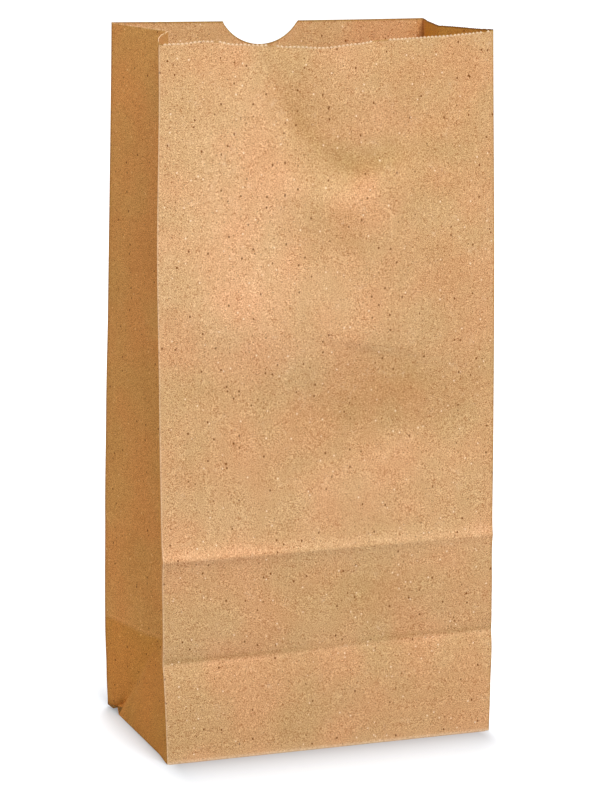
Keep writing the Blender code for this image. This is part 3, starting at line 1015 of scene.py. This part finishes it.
def paper_material(name, pulp, colours, sheet, grain, tint=None):
    """One face of the paper, with the pulp's colour, roughness and relief.

    The tint names the attribute that says where its painted shade lies, and the colour that it
    multiplies the paper's by.
    """
    material = bpy.data.materials.new(name)
    material.use_nodes = True
    tree = material.node_tree
    shader = tree.nodes["Principled BSDF"]

    def attribute(layer):
        return new_node(tree, "ShaderNodeAttribute", attribute_name=layer).outputs["Fac"]

    blush = np.array(colours.blush) * np.array(sheet) / np.array(colours.sheet)
    group = new_node(tree, "ShaderNodeGroup", node_tree=pulp)
    for socket, value in (
        ("Paper", opaque(sheet)), ("Blush", opaque(blush)), ("Fleck", opaque(colours.fleck)),
        ("Fibre", opaque(colours.fibre)), ("Grain", grain),
    ):
        group.inputs[socket].default_value = value
    tree.links.new(attribute("tone"), group.inputs["Tone"])
    tree.links.new(attribute("wear"), group.inputs["Wear"])
    colour = group.outputs["Color"]
    if tint:
        colour = blend(tree, attribute(tint[0]), colour, opaque(tint[1]), "MULTIPLY")
    tree.links.new(colour, shader.inputs["Base Color"])
    tree.links.new(group.outputs["Roughness"], shader.inputs["Roughness"])
    bump = new_node(tree, "ShaderNodeBump", {
        "Strength": 0.35, "Distance": 0.12 * MM, "Height": group.outputs["Height"],
    })
    tree.links.new(bump.outputs[0], shader.inputs["Normal"])
    shader.inputs["Specular IOR Level"].default_value = 0.25
    return material


def paper_materials(colours):
    """The outer face, the inner face and the cut edge."""
    pulp = paper_pulp_group()
    edge = tuple(0.5 * (a + b) for a, b in zip(colours.sheet, colours.fibre))
    return (
        # the outer face carries the gussets' painted shade, the inner face the painted shade in
        # the mouth
        paper_material("paper_outside", pulp, colours, colours.sheet, FACE_GRAIN,
                       ("gusset", colours.gusset_shade_tint)),
        paper_material("paper_inside", pulp, colours, colours.inside, FACE_GRAIN,
                       ("lining", colours.lining_shade_tint)),
        paper_material("paper_cut_edge", pulp, colours, edge, EDGE_GRAIN),
    )


def stored_materials():
    """The paper's materials, made the first time that a piece needs them."""
    names = ("paper_outside", "paper_inside", "paper_cut_edge")
    found = [bpy.data.materials.get(name) for name in names]
    if all(found):
        return found
    return paper_materials(bpy.context.scene.lunch_bag_colours)


def stored_tree():
    """The sheet's geometry nodes, made the first time that a piece needs them."""
    return bpy.data.node_groups.get("pinked_sheet") or pinked_sheet_tree()


def plain_layers(count):
    """Values for the materials of paper without painted highlight, painted shade or tone."""
    return {name: np.zeros(count) for name in ("wear", "tone", "gusset", "lining")}


# Operators

class LUNCHBAG_OT_folded_sheet(bpy.types.Operator):
    """Folds the sheet into the open bag with its gussets, pinked rim and thumb notch"""

    bl_idname = "lunch_bag.folded_sheet"
    bl_label = "Folded Sheet"

    def execute(self, context):
        size = context.scene.lunch_bag_sizes
        item = put_in_scene(sheet_mesh(size), "folded_sheet")
        finish_paper(item, size, stored_materials(), stored_tree())
        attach(item, BAG_BODY)
        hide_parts(BAG_NODE)
        return {"FINISHED"}


SEAM_COLUMNS = 8
SEAM_EDGE_TONE, SEAM_TONE = 0.12, -0.05


def seam_mesh(size):
    """Outer ply of the lap seam, as an open strip over the back panel."""
    start = size.width + size.depth + size.width / 2 - size.seam_offset - size.seam_width / 2
    count = SEAM_COLUMNS
    columns = np.linspace(start, start + size.seam_width, count)
    # from just above the floor to just below the rim
    levels = sheet_levels(size)[2:-1]
    levels = levels[levels < size.height - 1.2 * MM]
    runs = np.tile(columns, len(levels))
    heights = np.repeat(levels, count)
    points = rounded_points(size, runs, heights)
    points[:, 1] += size.paper
    faces = [
        (r * count + c, r * count + c + 1, (r + 1) * count + c + 1, (r + 1) * count + c)
        for r in range(len(levels) - 1) for c in range(count - 1)
    ]
    mesh = bpy.data.meshes.new("lap_seam")
    mesh.from_pydata(points.tolist(), [], faces)
    from_edge = np.minimum(runs - start, start + size.seam_width - runs)
    layers = plain_layers(len(runs))
    layers["tone"] = np.where(from_edge < 0.1 * MM, SEAM_EDGE_TONE, SEAM_TONE)
    layers["slack"] = ripple_slack(size, runs, heights)
    layers["rim"] = layers["tooth"] = np.zeros(len(runs))
    add_attributes(mesh, layers)
    return mesh


class LUNCHBAG_OT_lap_seam(bpy.types.Operator):
    """Laps the sheet's two edges down the back panel"""

    bl_idname = "lunch_bag.lap_seam"
    bl_label = "Lap Seam"

    def execute(self, context):
        size = context.scene.lunch_bag_sizes
        item = put_in_scene(seam_mesh(size), "lap_seam")
        finish_paper(item, size, stored_materials(), stored_tree())
        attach(item, BAG_BODY)
        return {"FINISHED"}


# The flaps' inset from the gussets, the ease at their corners, how much the lifted back
# left corner takes off the back flap, and the gap between two plies
FLAP_INSET, FLAP_EASE = 1.6 * MM, 0.8 * MM
FLAP_CLIP = (8 * MM, 11.6 * MM)
PLY_GAP = 0.005 * MM


def flap_outlines(size):
    """Outlines of the back flap and of the front flap, which laps over it."""
    side, half = size.width / 2 - FLAP_INSET, size.depth / 2
    tip = size.flap_overlap / 2
    reach = half - FLAP_EASE + tip
    front = [(-side, -half), (side, -half), (side, -half + FLAP_EASE),
             (side - reach, tip), (-side + reach, tip), (-side, -half + FLAP_EASE)]
    clip_x, clip_y = FLAP_CLIP
    slope = half - clip_y + tip
    back = [(side, half), (-side + clip_x, half), (-side, half - clip_y),
            (-side + slope, -tip), (side - reach, -tip), (side, half - FLAP_EASE)]
    return back, front


class LUNCHBAG_OT_base_flaps(bpy.types.Operator):
    """Glues the two flaps of the block bottom over each other"""

    bl_idname = "lunch_bag.base_flaps"
    bl_label = "Base Flaps"

    def execute(self, context):
        size = context.scene.lunch_bag_sizes
        outside, _, cut_edge = stored_materials()
        mesh = bmesh.new()
        for ply, outline in zip((1, 0), flap_outlines(size)):
            low, high = ply * size.paper, (ply + 1) * size.paper - PLY_GAP
            under = mesh.faces.new([mesh.verts.new((x, y, low)) for x, y in outline])
            grown = bmesh.ops.extrude_face_region(mesh, geom=[under])["geom"]
            lifted = [g for g in grown if isinstance(g, bmesh.types.BMVert)]
            bmesh.ops.translate(mesh, verts=lifted, vec=(0, 0, high - low))
        bmesh.ops.recalc_face_normals(mesh, faces=mesh.faces[:])
        for face in mesh.faces:
            face.material_index = 0 if abs(face.normal.z) > 0.5 else 1
        data = bpy.data.meshes.new("base_flaps")
        mesh.to_mesh(data)
        mesh.free()
        data.materials.append(outside)
        data.materials.append(cut_edge)
        add_attributes(data, plain_layers(len(data.vertices)))
        item = put_in_scene(data, "base_flaps")
        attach(item, BAG_BODY)
        return {"FINISHED"}


# Studio

# Half sizes of the bag's foot on the floor, how far the painted contact shadow, where the floor's
# glow is cut, reaches from it, and the floor's glow near the bag and far from it: (distance,
# strength)
FOOT_BOX, CONTACT_REACH = (0.060, 0.0385, 0), (0.0072, 0.021, 1)
GLOW_NEAR, GLOW_FAR = (0.3, 0.70), (1.1, 0.95)
# The floor's colour to the light and to the camera, and half its size
FLOOR_LIT, FLOOR_SEEN = (0.44, 0.46, 0.49, 1), (0.535, 0.565, 0.605, 1)
FLOOR_HALF = 12.0
WHITE = (1, 1, 1, 1)
# Each lamp's place and size, and the setting that holds its power
LAMPS = {
    "key_light": ((0.12, -1.15, 1.45), 0.8, "key_power"),
    "fill_light": ((-1.1, -0.35, 0.1), 0.6, "fill_power"),
    "top_light": ((0.12, 0.34, 1.45), 0.3, "top_power"),
}
LAMP_AIM = (0, 0, 0.13)


def seen_directly(tree):
    """1 for rays from the camera, and for those that show the background in gloss or glass."""
    path = tree.nodes.new("ShaderNodeLightPath").outputs
    bent = calculate(tree, "MAXIMUM", path["Is Glossy Ray"], path["Is Transmission Ray"])
    return calculate(tree, "MAXIMUM", path["Is Camera Ray"], bent)


def floor_material():
    """Pale matte floor that shows white to the camera and keeps the bag's shadow.

    Its glow fades out towards the bag's foot, which paints a contact shadow round it and lets the
    lamps' shadow show.
    """
    material = bpy.data.materials.new("studio_floor")
    material.use_nodes = True
    tree = material.node_tree
    tree.nodes.clear()
    output = tree.nodes.new("ShaderNodeOutputMaterial")
    place = tree.nodes.new("ShaderNodeTexCoord").outputs["Object"]

    def vector(operation, *values):
        node = new_node(tree, "ShaderNodeVectorMath", enumerate(values), operation=operation)
        return node.outputs["Value" if operation == "LENGTH" else 0]

    # painted contact shadow: the glow drops towards the bag's foot
    beside = vector("SUBTRACT", vector("ABSOLUTE", place), FOOT_BOX)
    beside = vector("DIVIDE", vector("MAXIMUM", beside, (0, 0, 0)), CONTACT_REACH)
    painted_contact_shadow = calculate(tree, "MULTIPLY", vector("LENGTH", beside), -1.0)
    painted_contact_shadow = calculate(tree, "EXPONENT", painted_contact_shadow)
    away = new_node(tree, "ShaderNodeMapRange", {
        "Value": vector("LENGTH", place), "From Min": GLOW_NEAR[0], "From Max": GLOW_FAR[0],
        "To Min": GLOW_NEAR[1], "To Max": GLOW_FAR[1],
    }, interpolation_type="SMOOTHSTEP").outputs["Result"]
    glow = calculate(tree, "MULTIPLY", away, calculate(tree, "SUBTRACT", 1.0, painted_contact_shadow))
    lit = new_node(tree, "ShaderNodeBsdfDiffuse", {"Color": FLOOR_LIT})
    seen = new_node(tree, "ShaderNodeBsdfDiffuse", {"Color": FLOOR_SEEN})
    lift = new_node(tree, "ShaderNodeEmission", {"Color": WHITE, "Strength": glow})
    both = new_node(tree, "ShaderNodeAddShader", {0: seen.outputs[0], 1: lift.outputs[0]})
    chosen = new_node(tree, "ShaderNodeMixShader", {
        0: seen_directly(tree), 1: lit.outputs[0], 2: both.outputs[0],
    })
    tree.links.new(chosen.outputs[0], output.inputs["Surface"])
    return material


def studio_world(strength):
    """Even white light, which shows as plain white behind the bag."""
    world = bpy.data.worlds.new("studio_light")
    world.use_nodes = True
    tree = world.node_tree
    tree.nodes.clear()
    output = tree.nodes.new("ShaderNodeOutputWorld")
    lit = new_node(tree, "ShaderNodeBackground", {"Color": WHITE, "Strength": strength})
    seen = new_node(tree, "ShaderNodeBackground", {"Color": WHITE, "Strength": 1.0})
    chosen = new_node(tree, "ShaderNodeMixShader", {
        0: seen_directly(tree), 1: lit.outputs[0], 2: seen.outputs[0],
    })
    tree.links.new(chosen.outputs[0], output.inputs["Surface"])
    return world


def add_lamp(name, place, side, power):
    """Square soft light, aimed at the bag's middle."""
    data = bpy.data.lights.new(name, "AREA")
    data.shape = "SQUARE"
    data.size = side
    data.energy = power
    lamp = put_in_scene(data, name)
    lamp.location = place
    lamp.rotation_euler = (Vector(LAMP_AIM) - Vector(place)).to_track_quat("-Z", "Y").to_euler()


def add_camera(studio):
    """The photograph's viewpoint."""
    data = bpy.data.cameras.new("studio_camera")
    data.lens = studio.lens
    data.sensor_width = 36.0
    data.clip_start = 0.05
    camera = put_in_scene(data, "studio_camera")
    turn, rise = studio.azimuth, studio.elevation
    back = Vector((math.sin(turn) * math.cos(rise), -math.cos(turn) * math.cos(rise),
                   math.sin(rise)))
    camera.location = Vector(studio.target) + back * studio.distance
    aim = (-back).to_track_quat("-Z", "Y").to_matrix()
    camera.rotation_euler = (aim @ Matrix.Rotation(studio.roll, 3, "Z")).to_euler()
    bpy.context.scene.camera = camera


class LUNCHBAG_OT_studio(bpy.types.Operator):
    """Sets up the pale floor, the soft light and the camera"""

    bl_idname = "lunch_bag.studio"
    bl_label = "Studio"

    def execute(self, context):
        studio = context.scene.lunch_bag_studio
        mesh = bmesh.new()
        bmesh.ops.create_grid(mesh, x_segments=1, y_segments=1, size=FLOOR_HALF)
        data = bpy.data.meshes.new("studio_floor")
        mesh.to_mesh(data)
        mesh.free()
        data.materials.append(floor_material())
        floor = put_in_scene(data, "studio_floor")
        context.scene.world = studio_world(studio.sky)
        for name, (place, side, power) in LAMPS.items():
            add_lamp(name, place, side, getattr(studio, power))
        add_camera(studio)
        context.scene.view_settings.view_transform = "Standard"
        return {"FINISHED"}


class LUNCHBAG_PT_panel(bpy.types.Panel):
    """Sidebar panel with the bag's pieces and settings"""

    bl_idname = "LUNCHBAG_PT_panel"
    bl_label = "Lunch Bag"
    bl_space_type = "VIEW_3D"
    bl_region_type = "UI"
    bl_category = "Lunch Bag"

    def draw(self, context):
        for title, group in (
            ("Sizes", context.scene.lunch_bag_sizes),
            ("Colours", context.scene.lunch_bag_colours),
            ("Studio", context.scene.lunch_bag_studio),
        ):
            box = self.layout.box()
            box.label(text=title)
            for name in group.bl_rna.properties.keys():
                if name not in ("rna_type", "name"):
                    box.prop(group, name)
        for operator in PIECES:
            self.layout.operator(operator.bl_idname)


PIECES = (
    LUNCHBAG_OT_folded_sheet, LUNCHBAG_OT_lap_seam, LUNCHBAG_OT_base_flaps, LUNCHBAG_OT_studio,
)
CLASSES = (BagSizes, PaperColours, StudioSettings) + PIECES + (LUNCHBAG_PT_panel,)


def register():
    for item in CLASSES:
        bpy.utils.register_class(item)
    bpy.types.Scene.lunch_bag_sizes = PointerProperty(type=BagSizes)
    bpy.types.Scene.lunch_bag_colours = PointerProperty(type=PaperColours)
    bpy.types.Scene.lunch_bag_studio = PointerProperty(type=StudioSettings)


def unregister():
    del bpy.types.Scene.lunch_bag_studio
    del bpy.types.Scene.lunch_bag_colours
    del bpy.types.Scene.lunch_bag_sizes
    for item in reversed(CLASSES):
        bpy.utils.unregister_class(item)


def main():
    register()
    bpy.ops.lunch_bag.folded_sheet()
    bpy.ops.lunch_bag.lap_seam()
    bpy.ops.lunch_bag.base_flaps()
    bpy.ops.lunch_bag.studio()


if __name__ == "__main__":
    main()
